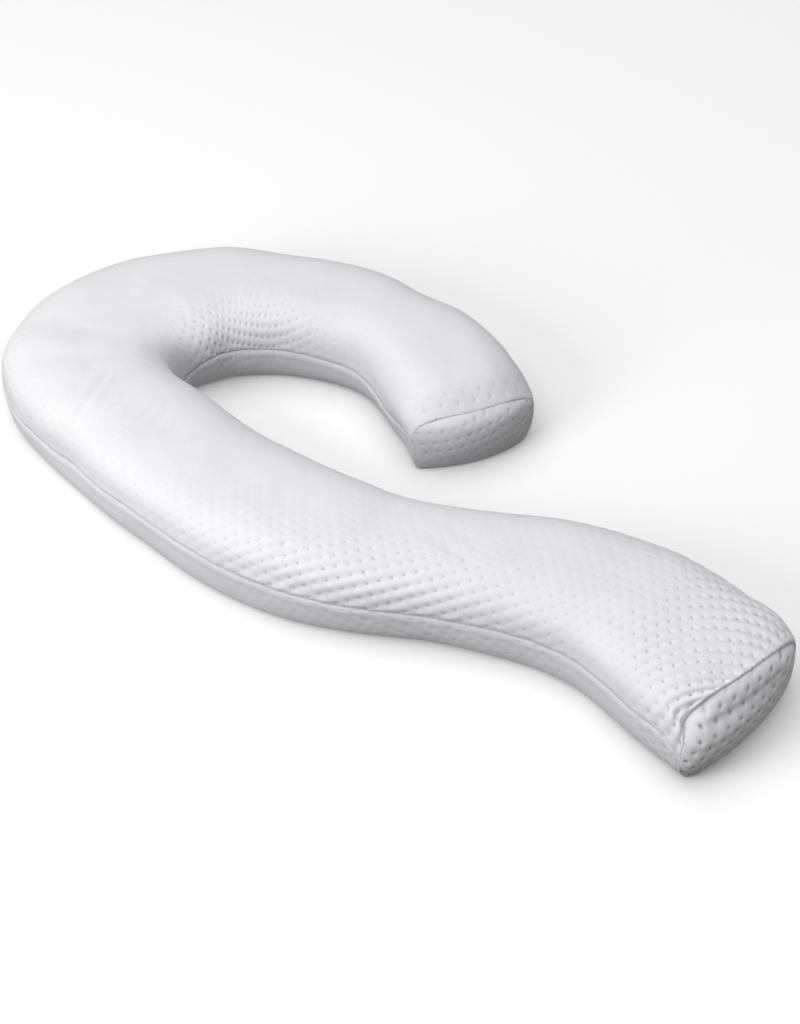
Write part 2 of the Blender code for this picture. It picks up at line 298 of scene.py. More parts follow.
def lay_panel(panel, columns):
    """Places of a panel's grid: (rows, columns, 3) in mm, with each point's data."""
    rib = natural_spline(rib_runs, RIBS, runs)
    middle, half, aside, ahead = section_frame(rib[:, 0:2], rib[:, 2:4])
    bow, rake, tuck, seam, crown, pinch = (rib[:, k:k + 1] for k in range(4, 10))
    run, half, crown = runs[:, None], half[:, None], crown * CROWN_HEIGHT
    at_hook, at_tail = hill(run / POWER_REACH), hill((LENGTH - run) / POWER_REACH)
    outer_power = TOP_FULLNESS + TAIL_SQUARE * at_tail - HOOK_ROUND * at_hook
    inner_power = TOP_FULLNESS - TAIL_ROUND * at_tail
    sizes = np.hstack([half, tuck + HOOK_TUCK * at_hook, tuck - HOOK_TUCK * at_hook, seam,
                       crown, outer_power, inner_power])
    across, height, arc = np.empty((3, len(runs), len(columns(ANY_WIDTH))))
    for i, row in enumerate(sizes):
        curve = section_curve(row, panel)
        length = way_along(curve)
        place = columns(length[-1])
        arc[i] = place - 0.5 * length[-1]
        across[i] = np.interp(place, length, curve[:, 0])
        height[i] = np.interp(place, length, curve[:, 1])
    risen = np.clip((height - seam) / (crown - seam), 0.0, 1.0)
    across = across * (1.0 - pinch * risen ** PINCH_RISE * (across < 0.0))
    share = across / half
    loose = np.minimum(height / seam, (crown - height) / (crown - seam))
    dip = sum(deep * hill((run - at) / reach) for at, reach, deep in SEAM_DIPS)
    height = height - dip * np.clip(2.0 * share - 1.0, 0.0, 1.0) * np.clip(loose, 0.0, 1.0)
    near_end = np.clip(1.0 - np.minimum(run, LENGTH - run) / END_REACH, 0.0, 1.0)
    height = height + END_LIFT * near_end ** 2 * (1.0 - height / crown)
    lead = crown_lead(bow, rake, share, height)
    lead = lead + HOOK_LEAN * at_hook * height / CROWN_HEIGHT
    outer_corner = smooth_step(-share, *CORNER_SHARE) * smooth_step(height, *CORNER_HEIGHT)
    lead = lead + CORNER_PUSH * at_tail * outer_corner
    spots = middle[:, None] + aside[:, None] * across[..., None] + ahead[:, None] * lead[..., None]
    places = np.concatenate([spots, height[..., None]], 2) - CENTRE
    return {"place": places, "share": share, "arc": arc, "edge": 0.5 * (arc[:, -1] - arc[:, 0]),
            "half": half, "run": np.broadcast_to(run, arc.shape), "aside": aside,
            "ahead": np.pad(ahead, ((0, 0), (0, 1)))}


TOP_COLUMNS = 128
BOTTOM_COLUMNS = 84
SEAM_COLUMNS = 8  # columns in the rolled cloth beside a side seam
SEAM_ROLL = 12.0  # mm of cloth that those columns cover
FINE_REACH = 105.0  # mm from the seam in which the bottom panel is fine
FLAT_COLUMNS = 0.26  # share of the bottom panel's columns that lie between


# distances from a side seam at which the columns of the rolled cloth stand
seam_roll = SEAM_ROLL * np.linspace(0.0, 1.0, SEAM_COLUMNS + 1) ** ROLL_CROWDING


def top_columns(length):
    """Column places along a top section, closer beside both seams."""
    count = TOP_COLUMNS - 2 * SEAM_COLUMNS + 1
    return with_rolls(seam_roll, np.linspace(SEAM_ROLL, length - SEAM_ROLL, count), length)


def bottom_columns(length):
    """Column places along a bottom section, wide apart on the flat strip."""
    wide = int((BOTTOM_COLUMNS - 2 * SEAM_COLUMNS) * FLAT_COLUMNS)
    fine = (BOTTOM_COLUMNS - 2 * SEAM_COLUMNS - wide) // 2
    side = np.linspace(SEAM_ROLL, FINE_REACH, fine + 1)
    flat = np.linspace(FINE_REACH, length - FINE_REACH, wide + 1)
    return with_rolls(seam_roll, with_rolls(side, flat, length), length)


panels = {"top": lay_panel("top", top_columns), "bottom": lay_panel("bottom", bottom_columns)}
for name, panel in panels.items():
    print(name, "panel:", *panel["arc"].shape, "rows and columns, cloth",
          span(2.0 * panel["edge"]), "mm wide")

# %% [markdown]
# The knit was flat when it was cut. To know where its dimples come, every point
# is given its place on the flat cloth: so far along the cut panel's middle line,
# and so far aside. The cut outline is less curved than the filled pillow, which
# is bent further when it is laid out. Some extra cloth is gathered on the inside
# of the hook, and before the tail's seam the knit is pulled into arcs.

# %% Places on the flat cloth
CUT_BEND = 0.69  # the cut panel's bend as a share of the filled pillow's
HOOK_BEND = 0.93  # the same share in the hook
# Cloth gathered along the inner side: place, reach and share of extra cloth. What
# is gathered in the hook is taken from the tight cloth before and behind it.
GATHERS = [(560.0, 210.0, 0.62), (180.0, 120.0, -0.54), (1010.0, 170.0, -0.38)]
EASED_IN = [(1520.0, 400.0, 0.17)]  # the same across the whole width
ARC_CENTRE = np.array([1090.0, -648.0])  # middle of the arcs, on the flat cloth
ARC_TURN = math.radians(48.0)  # direction in which they run
ARC_BEND = 0.0022  # sag of an arc in mm, for each square mm from its middle
ARC_STRAIGHT = 95.0  # mm from its middle where an arc runs on straight
ARC_SPAN = (-230.0, 150.0)  # mm beside its middle that an arc covers
ARC_RAMP = (1400.0, 2120.0)  # places between which the knit is pulled into arcs
ARC_STRETCH = 0.12  # how much the knit is stretched along an arc
CUT_EASE = 170.0  # mm over which the cut outline is eased
LATTICE_RUN = 1500.0  # where the knit's own rows are measured from
LATTICE_TURN = math.radians(5.5)
GATHER_SHARES = (-0.2, 0.9)  # across the pillow, where the gathered cloth comes in
BEND_CHANGE = (850.0, 1150.0)  # places between which one bend passes into the other
LINE_POINTS = 1500  # points on the cut middle line
EASE_POINTS = 600  # points on each side over which the easing is felt

even = np.linspace(0.0, LENGTH, LINE_POINTS)
line = natural_spline(rib_runs, rib_middles, even)
heading = np.unwrap(np.arctan2(*np.gradient(line, even, axis=0).T[::-1]))
reach = np.arange(-EASE_POINTS, EASE_POINTS + 1) * (LENGTH / (LINE_POINTS - 1.0))
bell = np.exp(-0.5 * (reach / CUT_EASE) ** 2)
padded_heading = np.pad(heading, EASE_POINTS, mode="edge")
eased = np.convolve(padded_heading, bell / bell.sum(), mode="valid")
share_bent = np.interp(even, (0.0, *BEND_CHANGE, LENGTH),
                       (HOOK_BEND, HOOK_BEND, CUT_BEND, CUT_BEND))
turned = np.cumsum(np.gradient(eased) * share_bent)
cut_heading = np.interp(LATTICE_RUN, even, heading) + turned - np.interp(LATTICE_RUN, even, turned)
cut_line = np.cumsum(np.stack([np.cos(cut_heading), np.sin(cut_heading)], 1), axis=0)
cut_line *= even[1]


def extra_cloth(places):
    """How much further each row lies on the flat cloth, counted from the tail's end."""
    bunched = sum(more * hill((runs - at) / reach) for at, reach, more in places)
    total = np.cumsum(bunched * np.gradient(runs))
    return (total - total[-1])[:, None]


def flat_places(panel):
    """Each grid point's place on the flat cloth, in mm."""
    turn = np.interp(runs, even, cut_heading)
    start = np.stack([np.interp(runs, even, cut_line[:, k]) for k in (0, 1)], 1)
    forward = np.stack([np.cos(turn), np.sin(turn)], 1)
    normal = np.stack([-np.sin(turn), np.cos(turn)], 1)
    inner = smooth_step(panel["share"], *GATHER_SHARES)
    extra = extra_cloth(GATHERS) * inner + extra_cloth(EASED_IN)
    flat = (start[:, None] + normal[:, None] * panel["arc"][..., None]
            + forward[:, None] * extra[..., None])
    along = np.array([math.cos(ARC_TURN), math.sin(ARC_TURN)])
    over = np.array([-along[1], along[0]])
    pulled = smooth_step(runs, *ARC_RAMP)[:, None]
    off = np.clip((flat - ARC_CENTRE) @ along, *ARC_SPAN)
    sag = np.where(off < -ARC_STRAIGHT, -2.0 * ARC_STRAIGHT * off - ARC_STRAIGHT ** 2, off ** 2)
    flat = flat + over * (ARC_BEND * sag * pulled)[..., None]
    return flat + along * (ARC_STRETCH * off * pulled)[..., None]


def grid_normals(places, facing):
    """Outward normals of a grid of places. facing is the way its middle looks."""
    normal = np.cross(*np.gradient(places, axis=(0, 1)))
    normal /= np.maximum(np.linalg.norm(normal, axis=2), 1e-9)[..., None]
    middle = normal[places.shape[0] // 2, places.shape[1] // 2]
    return normal * (1.0 if middle @ np.array(facing) > 0 else -1.0)


for name, panel in panels.items():
    panel["flat"] = flat_places(panel)
    panel["normal"] = grid_normals(panel["place"], (0, 0, 1 if name == "top" else -1))
    print(name, "cloth, flat:", *np.ptp(panel["flat"], axis=(0, 1)).round(), "mm over all")

# %% [markdown]
# The knit is two layers tied together at points. Between the ties it puffs up, so
# it shows small pits in staggered rows. Where the cloth is slack the pits are
# deep and their rows run together into ridges, and where the filling stretches it
# they nearly vanish. The relief below is worked out on the flat cloth, from the
# spacing of the ties, and then raised from the surface.

# %% Relief of the cloth
TIE_ALONG = 26.6  # mm between ties along a row
TIE_ROWS = 29.0  # mm between a row and the next but one
PIT_DEPTH = 2.6
PIT_RADIUS = 4.0
RIDGE_HEIGHT = 2.2
RIDGE_POWER = 2.2  # how late ridges show as the cloth gets looser
TIGHT = 0.12  # looseness of well filled cloth, where 1 is quite slack
TIGHT_HOOK = 0.3  # share of that in the hook and the bend
TIGHT_RAMP = (1250.0, 1700.0)  # places between which the rest comes in
NOISE_CELLS = 256  # cells after which the soft noise repeats

# Where the cloth lies loose. run, across: the place, as in the table of folds.
# length, width: reach along the pillow and across it, in mm. amount: looseness.
LOOSE_PLACES = [
    (2235, 0.00, 150, 400, 0.95),  # before the tail's end seam
    (2180, 0.90, 90, 70, 0.50),
    (2050, 0.95, 260, 60, 0.25),
    (1540, -0.98, 210, 86, 0.44),  # along the outer seam of the long part
    (1740, -1.05, 180, 70, 0.24),
    (1620, -0.70, 190, 70, 0.24),
    (1960, -0.60, 180, 80, 0.16),
    (1270, -1.05, 130, 44, 0.14),
    (560, 0.92, 160, 50, 0.72),  # inside of the hook
    (700, 1.00, 60, 50, 0.45),
    (2150, -0.40, 100, 110, 0.50),
    (2110, -1.00, 95, 48, -0.60),  # tight again beside the outer seam
    (780, -0.90, 90, 36, 0.34),  # rim of the outer bend
    (960, -0.95, 120, 40, 0.26),
    (1130, -0.45, 60, 60, 0.08),
    (6, -0.20, 34, 160, 0.28),  # before the hook's end seam
    (4, 0.55, 30, 60, 0.25),
]


def soft_noise(x, y, cell, seed):
    """Smooth hills and hollows from -1 to 1, about one for each cell."""
    table = np.random.default_rng(seed).uniform(-1.0, 1.0, (NOISE_CELLS, NOISE_CELLS))
    x, y = x / cell, y / cell
    i, j = np.floor(x).astype(int), np.floor(y).astype(int)
    past_x, past_y = smooth_step(x - i, 0.0, 1.0), smooth_step(y - j, 0.0, 1.0)
    near_i, next_i = i % NOISE_CELLS, (i + 1) % NOISE_CELLS
    near_j, next_j = j % NOISE_CELLS, (j + 1) % NOISE_CELLS
    low = table[near_i, near_j] * (1.0 - past_x) + table[next_i, near_j] * past_x
    high = table[near_i, next_j] * (1.0 - past_x) + table[next_i, next_j] * past_x
    return low * (1.0 - past_y) + high * past_y


def looseness(run, share, half):
    """How slack the cloth is: 0 where the filling stretches it, 1 where it is loose."""
    total = TIGHT * (TIGHT_HOOK + (1.0 - TIGHT_HOOK) * smooth_step(run, *TIGHT_RAMP))
    for place, across, length, width, amount in LOOSE_PLACES:
        total = total + amount * hill((run - place) / length, (share - across) * half / width)
    return np.clip(total, 0.0, 1.0)


def knit_relief(x, y, loose, ridges=1.0, pits=1.0):
    """Height of the tied knit in mm, 0 between the ties and less at them."""
    along, over = turned_by(LATTICE_TURN, x, y)
    along, over = along / TIE_ALONG, over / TIE_ROWS    # in steps of the pattern
    far = np.full(along.shape, np.inf)
    for shift in (0.0, 0.5):
        beside = ((along + shift) % 1.0 - 0.5) * TIE_ALONG
        above = ((over + shift) % 1.0 - 0.5) * TIE_ROWS
        far = np.minimum(far, np.hypot(beside, above))
    pit = hill(far / PIT_RADIUS)
    groove = 0.5 + 0.5 * np.cos(2.0 * np.pi * (along - over))
    return -PIT_DEPTH * pits * pit * loose - RIDGE_HEIGHT * ridges * groove * loose ** RIDGE_POWER


# Creases are narrow arcs. run, across to to_run, to_across: where each one starts
# and ends. bow: how far its middle stands ahead, in mm. depth: groove depth.
CREASES = [
    (1086, -0.92, 1000, 0.16, 10, 1.2),  # fanned over the bend's end
    (1052, -0.97, 982, 0.02, 12, 0.9),
    (1130, -0.76, 1126, 0.26, 18, 1.1),
    (1172, -0.74, 1198, 0.14, 16, 1.0),
    (1100, -0.78, 1074, 0.06, 14, 0.8),
    (1152, -0.62, 1160, 0.22, 16, 0.8),
    (2224, -0.62, 2194, -0.90, 0, 1.3),  # tucks at the tail's outer corner
    (2212, -0.60, 2180, -0.84, 0, 1.0),
]
CREASE_WIDTH = 5.0
CREASE_LIP = 0.45  # height of the soft ridges beside a crease, as a share of its depth
CREASE_FADE = 0.6  # how blunt a crease's ends are, low for blunt
# Folds are broad swells and hollows. run, across: the place. length, width: reach
# in mm. lean: how far the length is turned, in degrees. rise: height in mm.
FOLDS = [
    (264, -0.94, 60, 44, 90, -8.0),  # waist on the hook's outer side
    (1096, -0.98, 50, 44, 90, -6.0),  # drawn-in place where the bend ends
    (868, -0.60, 120, 26, 82, -3.0),  # creases fanned across the outer bend
    (944, -0.58, 130, 26, 90, -3.4),
    (1020, -0.52, 130, 26, 98, -3.4),
    (1082, -0.40, 110, 26, 106, -2.8),
    (34, 0.10, 26, 110, 0, 2.0),  # rolled cloth before the hook's end seam
    (2226, -0.74, 6, 12, -8, -4.5),  # notch in the tail's seam
    (2216, -0.93, 14, 9, 0, 2.6),  # puffed cloth beside it
    (1700, -0.20, 200, 90, 10, -1.8),  # slack places on the long part
    (1420, 0.25, 220, 90, 5, 1.6),
]


def fold_rise(run, share, half):
    """Height of the soft swells and troughs of the cover."""
    total = np.zeros(share.shape)
    for place, across, length, width, lean, rise in FOLDS:
        forward, sideways = turned_by(math.radians(lean), run - place, (share - across) * half)
        total += rise * hill(forward / length, sideways / width)
    return total


def crease_rise(run, share, half):
    """Depth of the creases: grooves with a soft ridge on each side, fading at both ends."""
    total = np.zeros(share.shape)
    for start, across, stop, to_across, bow, depth in CREASES:
        along, aside = run - start, (share - across) * half
        way, over = stop - start, (to_across - across) * half
        length = np.hypot(way, over)
        done = (along * way + aside * over) / length ** 2
        off = (along * over - aside * way) / length - bow * 4.0 * done * (1.0 - done)
        fade = np.clip(4.0 * done * (1.0 - done), 0.0, 1.0) ** CREASE_FADE
        wide = off / CREASE_WIDTH
        total += depth * fade * (-hill(wide) + CREASE_LIP * hill(np.abs(wide) - 2.0))
    return total


print(len(LOOSE_PLACES), "loose places,", len(CREASES), "creases,", len(FOLDS), "folds")

# %% [markdown]
# So far the cover is smooth. A short cloth simulation lets a coarse copy of the
# cover settle on it: pressure fills the copy from inside, its seams are held, and
# it has a little too much cloth where the knit lies loose. Only the small
# movements are kept, as swells and wrinkles a few millimetres high.

# %% Cloth simulation
SIM_ROWS = 230
SIM_TOP = 43
SIM_BOTTOM = 29
SIM_FRAMES = 20
SPARE_CLOTH = 0.07  # extra length of the loosest cloth
MOVE_LIMIT = 3.0  # mm
FINE_STEPS = 4  # grid steps; broader movements than this are dropped
TIGHT_MOVE = 0.12  # share of the movement that is kept in tight cloth
MOVE_RAMP = (0.1, 0.9)  # looseness over which the rest comes in
# looseness of the bottom panel as a share of the top's: in the hook, and added at the tail
BOTTOM_LOOSE = (0.4, 0.5)
BOTTOM_RAMP = (1600.0, 2000.0)  # places between which that is added
CLOTH_SETTINGS = {
    "quality": 5, "mass": 0.3, "tension_stiffness": 15.0, "compression_stiffness": 15.0,
    "shear_stiffness": 5.0, "bending_stiffness": 1.2, "use_pressure": True,
    "uniform_pressure_force": 4.0, "vertex_group_mass": "held",
    "vertex_group_shrink": "slack", "shrink_max": -SPARE_CLOTH,
}


def picked(count, total):
    """Evenly spaced numbers of count rows or columns out of total."""
    return np.rint(np.linspace(0, total - 1, count)).astype(int)


def grid_mesh(places):
    """A flat grid put in its places, with each vertex's row and column."""
    steps = np.array(places.shape[:2]) - 1
    mesh = bmesh.new()
    bmesh.ops.create_grid(mesh, x_segments=int(steps[0]), y_segments=int(steps[1]), size=1.0)
    at = np.array([vertex.co[:2] for vertex in mesh.verts])
    i, j = np.rint((at + 1.0) * 0.5 * steps).astype(int).T
    for vertex, spot in zip(mesh.verts, places[i, j] * MM):
        vertex.co = spot
    return mesh, i, j


def open_edges(mesh):
    """The edges that have a face on one side only."""
    return [edge for edge in mesh.edges if edge.is_boundary]


def cover_copy(rings):
    """A closed tube of cloth from a grid of places, with each vertex's row and column."""
    mesh, rows, columns = grid_mesh(rings)
    row, column = mesh.verts.layers.int.new("row"), mesh.verts.layers.int.new("column")
    for vertex, i, j in zip(mesh.verts, rows, columns):
        vertex[row], vertex[column] = int(i), int(j)
    bmesh.ops.remove_doubles(mesh, verts=mesh.verts, dist=0.00001)
    bmesh.ops.holes_fill(mesh, edges=open_edges(mesh), sides=0)
    bmesh.ops.recalc_face_normals(mesh, faces=mesh.faces)
    index = [(vertex[row], vertex[column]) for vertex in mesh.verts]
    return mesh_object("settling_cover", mesh), np.array(index)


def run_cloth(item, index, pinned, slack):
    """How far each vertex moves, in mm, when the copy settles."""
    for name, weights in (("held", pinned), ("slack", slack)):
        group = item.vertex_groups.new(name=name)
        for k, (i, j) in enumerate(index):
            if weights[i, j] > 0.0:
                group.add([k], float(weights[i, j]), "REPLACE")
    modifier = item.modifiers.new("settle", "CLOTH")
    for key, value in CLOTH_SETTINGS.items():
        setattr(modifier.settings, key, value)
    modifier.settings.effector_weights.gravity = 0.0
    modifier.collision_settings.use_collision = False
    modifier.point_cache.frame_start, modifier.point_cache.frame_end = 1, SIM_FRAMES
    for step in range(1, SIM_FRAMES + 1):
        bpy.context.scene.frame_set(step)
    settled = item.evaluated_get(bpy.context.evaluated_depsgraph_get())
    moved = np.array([vertex.co for vertex in settled.data.vertices])
    still = np.array([vertex.co for vertex in item.data.vertices])
    bpy.context.scene.frame_set(1)
    return (moved - still) / MM


def blurred(field, reach):
    """The field with its detail smoothed away, along both of its directions."""
    bell = np.exp(-0.5 * (np.arange(-3 * reach, 3 * reach + 1) / reach) ** 2)
    bell /= bell.sum()
    for axis in (0, 1):
        margins = [(3 * reach, 3 * reach) if k == axis else (0, 0) for k in (0, 1)]
        wide = np.pad(field, margins, mode="edge")
        field = np.apply_along_axis(np.convolve, axis, wide, bell, mode="valid")
    return field


def settle(over, under):
    """Small movements of both panels along their normals, on their own grids."""
    rows = picked(SIM_ROWS, len(runs))
    top = picked(SIM_TOP, over["arc"].shape[1])
    bottom = picked(SIM_BOTTOM, under["arc"].shape[1])

    def ring(key):
        return np.concatenate([over[key][rows][:, top], under[key][rows][:, bottom[-2::-1]]], 1)

    places, normals, slack = ring("place"), ring("normal"), ring("loose")
    item, index = cover_copy(places)
    held = np.zeros(slack.shape)
    held[[0, 1, -2, -1]] = 1.0
    held[:, [0, SIM_TOP - 1, -1]] = 1.0
    held[places[..., 2] < 0.5] = 1.0
    move = run_cloth(item, index, held, slack)
    field = np.zeros(slack.shape)
    field[index[:, 0], index[:, 1]] = (move * normals[index[:, 0], index[:, 1]]).sum(1)
    print("the cloth moved by", span(field, 1), "mm")
    bpy.data.objects.remove(item, do_unlink=True)
    results = []
    halves = ((over, top, field[:, :SIM_TOP]), (under, bottom, field[:, :SIM_TOP - 2:-1]))
    for panel, columns, part in halves:
        fine = MOVE_LIMIT * np.tanh((part - blurred(part, FINE_STEPS)) / MOVE_LIMIT)
        all_columns = np.arange(panel["arc"].shape[1])
        wide = np.array([np.interp(all_columns, columns, row) for row in fine])
        results.append(np.array([np.interp(np.arange(len(runs)), rows, line) for line in wide.T]).T)
    return results


for name, panel in panels.items():
    panel["loose"] = looseness(panel["run"], panel["share"], panel["half"])
    if name == "bottom":
        under = BOTTOM_LOOSE[0] + BOTTOM_LOOSE[1] * smooth_step(panel["run"], *BOTTOM_RAMP)
        panel["loose"] = panel["loose"] * under
    panel["settled"] = np.zeros(panel["arc"].shape)
panels["top"]["settled"], panels["bottom"]["settled"] = settle(panels["top"], panels["bottom"])
for name, panel in panels.items():
    kept = TIGHT_MOVE + (1.0 - TIGHT_MOVE) * smooth_step(panel["loose"], *MOVE_RAMP)
    panel["settled"] = panel["settled"] * kept
    print(name, "wrinkles from", span(panel["settled"], 1), "mm")

# %% [markdown]
# Sewing pulls both panels inwards along the seam. On each side of the stitches
# the cloth rolls over in a soft lip, and the thread gathers it a little, which
# leaves small puckers across the lip.

# %% Sewn edges
LIP = 5.5  # radius of the rolled lip, and how far a seam is drawn in
LIP_SWELL = 0.9  # how far the cloth stands out beside the lip
SWELL_PLACE = (10.0, 5.0)  # where it stands out most, in mm from the seam, and its reach
PUCKER = 1.1  # height of the puckers across the lips
ALLOWANCE = 7.0  # width of cloth turned in at a seam
SEAM_SWAY = 0.9  # how far the sewn line strays up and down
CREST = 0.9  # how much less the tail's seam sinks down its outer corner
HOOK_LIP = 0.28  # how much of the lip there is at the hook's end seam
TAIL_LIP = 0.80  # the same at the tail's
INNER_TUCK = 8.0  # how far the inner seam is drawn in beside the hook's end
INNER_ROLL = 5.0  # how far the cloth rolls out over it there
INNER_PLACE = (62.0, 55.0)  # middle and reach of that stretch of seam
PUCKER_REACH = 9.0  # mm from a seam in which the puckers fade
PUCKER_CELL = 8.0  # mm of seam for each pucker
BEND_GATHER = (1120.0, 170.0, 0.7)  # place, reach and amount of extra puckers
SWELL = (1.4, 85.0)  # height and breadth of the cover's slow swells
RIPPLE = (0.4, 23.0)  # the same for its small ones
SEEDS = {"top": 11, "bottom": 41}
SWAY_SEED = 5
OFF_BED = (1.0, 16.0)  # mm over which the relief comes in above the bed
OFF_SEAM = (2.0, 9.0)  # and away from a seam
# Before the tail the ties pull the knit into ridges round one place, and into
# separate pits near the inner side.
RIDGED_RUN = (2160.0, 110.0)  # place along the pillow, and reach
RIDGED_ACROSS = (-0.32, 95.0)  # place across it, and reach
QUILTED_SHARE = (0.25, 0.65)
QUILTED_RUN = (2060.0, 2160.0)


def sewn_edge(distance):
    """Height beside a seam: a quarter-round lip that rolls down to the stitches."""
    inside = np.clip(1.0 - distance / LIP, 0.0, 1.0)
    lip = -LIP * (1.0 - np.sqrt(1.0 - inside ** 2))
    return lip + LIP_SWELL * hill((distance - SWELL_PLACE[0]) / SWELL_PLACE[1])


def dress(name, panel):
    """Adds folds, knit, puckers and seams to a panel's grid."""
    x, y = panel["flat"][..., 0], panel["flat"][..., 1]
    arc, share, place, run, half, loose = (
        panel[key] for key in ("arc", "share", "place", "run", "half", "loose"))
    side = panel["edge"][:, None] - np.abs(arc)
    end = np.minimum(run, LENGTH - run)
    above = smooth_step(place[..., 2], *OFF_BED)
    rise = fold_rise(run, share, half)
    if name == "top":
        rise += crease_rise(run, share, half)
    else:
        rise *= np.clip(place[..., 2] / place[:, :1, 2], 0.0, 1.0)
    seed = SEEDS[name]
    swell = SWELL[0] * soft_noise(run, arc, SWELL[1], seed)
    rise += swell * above * smooth_step(side, 0.0, 40.0)
    rise += RIPPLE[0] * soft_noise(run, arc, RIPPLE[1], seed + 1) * above
    near = np.exp(-side / PUCKER_REACH)
    bend, bend_reach, more = BEND_GATHER
    gather = 0.5 + loose + more * hill((run - bend) / bend_reach)
    rise += PUCKER * gather * near * soft_noise(run, arc * 0.35, PUCKER_CELL, seed + 2)
    away = smooth_step(side, *OFF_SEAM) * smooth_step(end, *OFF_SEAM)
    rise += panel["settled"] * above * smooth_step(side, 2.0, 14.0)
    (ridge_run, long), (ridge_share, broad) = RIDGED_RUN, RIDGED_ACROSS
    ridged = hill((run - ridge_run) / long, (share - ridge_share) * half / broad)
    quilted = smooth_step(share, *QUILTED_SHARE) * smooth_step(run, *QUILTED_RUN)
    rise += knit_relief(x, y, loose, 0.85 + 1.3 * ridged - 0.5 * quilted,
                        1.0 - 0.5 * ridged + 0.4 * quilted) * away * above
    crest = CREST * smooth_step(-share, *CORNER_SHARE) * (run > 0.5 * LENGTH)
    end_lip = np.where(run < 0.5 * LENGTH, HOOK_LIP, TAIL_LIP)
    rise += (sewn_edge(side) * smooth_step(end, 1.0, 16.0)
             + end_lip * sewn_edge(end) * (1.0 - crest))
    beside = hill((run - INNER_PLACE[0]) / INNER_PLACE[1]) * (share > 0.0)
    if name == "top":
        rise += beside * (INNER_ROLL * hill((side - 32.0) / 20.0) - INNER_TUCK * hill(side / 12.0))
    else:
        rise -= beside * INNER_TUCK * hill(side / 40.0)
    spot = place + panel["normal"] * rise[..., None]
    sway = SEAM_SWAY * soft_noise(run, np.sign(arc) * 50.0, 26.0, SWAY_SEED)
    spot[..., 2] += sway * np.exp(-side / 14.0)
    spot[..., 2] = np.maximum(spot[..., 2], 0.0)
    spot[place[..., 2] < 0.05, 2] = 0.0
    return spot


for name, panel in panels.items():
    panel["spot"] = dress(name, panel)
    print(name, "panel stands", span(panel["spot"][..., 2]), "mm above the bed")
# both panels meet in the seam, halfway between where each one's edge lies
for column in (0, -1):
    shared = 0.5 * (panels["top"]["spot"][:, column] + panels["bottom"]["spot"][:, column])
    for panel in panels.values():
        panel["spot"][:, column] = shared

# %% [markdown]
# The cloth does not end at a seam: a strip of it, the seam allowance, is turned
# in and lies inside. Each grid gets one more row and column all round for that
# strip. Behind it the piece is closed, so that it is a solid form without holes.

# %% Panels from flat grids
def with_edge(data):
    """The data with its outermost values repeated for the seam allowance."""
    return np.pad(data, ((1, 1), (1, 1), (0, 0))[:data.ndim], mode="edge")


def turned_in(spots, inward_rows, inward_columns):
    """The grid with a seam allowance all round, turned in by the given steps."""
    wide = with_edge(spots)
    wide[0] += inward_rows[0]
    wide[-1] += inward_rows[1]
    wide[:, 0] += inward_columns[0]
    wide[:, -1] += inward_columns[1]
    return wide


def close_inside(mesh, corners):
    """Closes a grid's open edge: a ladder between its long sides, and its ends."""
    if corners:
        sides = [edge for edge in open_edges(mesh) if not corners.issuperset(edge.verts)]
        bmesh.ops.bridge_loops(mesh, edges=sides)
    caps = bmesh.ops.holes_fill(mesh, edges=open_edges(mesh), sides=0)["faces"]
    bmesh.ops.poke(mesh, faces=caps)
    bmesh.ops.recalc_face_normals(mesh, faces=mesh.faces)


def cloth_mesh(name, spots, flat, loose, long_piece):
    """A flat grid whose points are put in their places, closed behind its edge."""
    mesh, i, j = grid_mesh(spots)
    layer = mesh.loops.layers.uv.new("flat_cloth")
    cloth = flat[i, j] * MM
    mesh.verts.index_update()
    for face in mesh.faces:
        for loop in face.loops:
            loop[layer].uv = cloth[loop.vert.index]
    slackness = mesh.verts.layers.float.new("loose")
    for vertex, value in zip(mesh.verts, loose[i, j]):
        vertex[slackness] = value
    ends = {vertex for vertex, row in zip(mesh.verts, i) if row in (0, len(spots) - 1)}
    close_inside(mesh, ends if long_piece else set())
    for face in mesh.faces:
        face.smooth = True
    return mesh_object(name, mesh)


pieces = {}
for name, panel in panels.items():
    lift = np.array([0.0, 0.0, 2.0 if name == "top" else -2.0])
    inside = np.pad(panel["aside"] * ALLOWANCE, ((1, 1), (0, 1)), mode="edge") * (1, 1, 0)
    along = [panel["ahead"][0] * 2.0 * ALLOWANCE, -panel["ahead"][-1] * 2.0 * ALLOWANCE]
    wide = turned_in(panel["spot"], along, (inside + lift, lift - inside))
    pieces[name] = cloth_mesh(name + "_panel", wide, with_edge(panel["flat"]),
                              with_edge(panel["loose"]), True)
    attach(pieces[name], "root")
    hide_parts("pillow_body")
    print(pieces[name].name, len(pieces[name].data.polygons), "faces")

# %% [markdown]
# Each end is closed by a panel of the same knit, cut to the pillow's section and
# sewn round its edge. The filling pushes it out into a low dome. It is laid as a
# grid that is stretched between the four sides of the seam: its upper edge runs
# over the crown, its lower edge along the bed, and the rest lies evenly between.

# %% End panels
END_SIDE = 52  # grid steps up an end panel
END_TOP = 84  # grid steps across it
SHOULDER = 0.60  # place of the upper corners, as a share of the top edge
HEEL = 0.80  # place of the lower corners, as a share of the bottom edge
END_BASE = 0.65  # the bulge's share beside the lower edge
BASE_REACH = 70.0  # mm above the bed over which it grows to the whole
RIM_POWER = 5  # how square the bulge is, seen from the front
END_SEED = 71
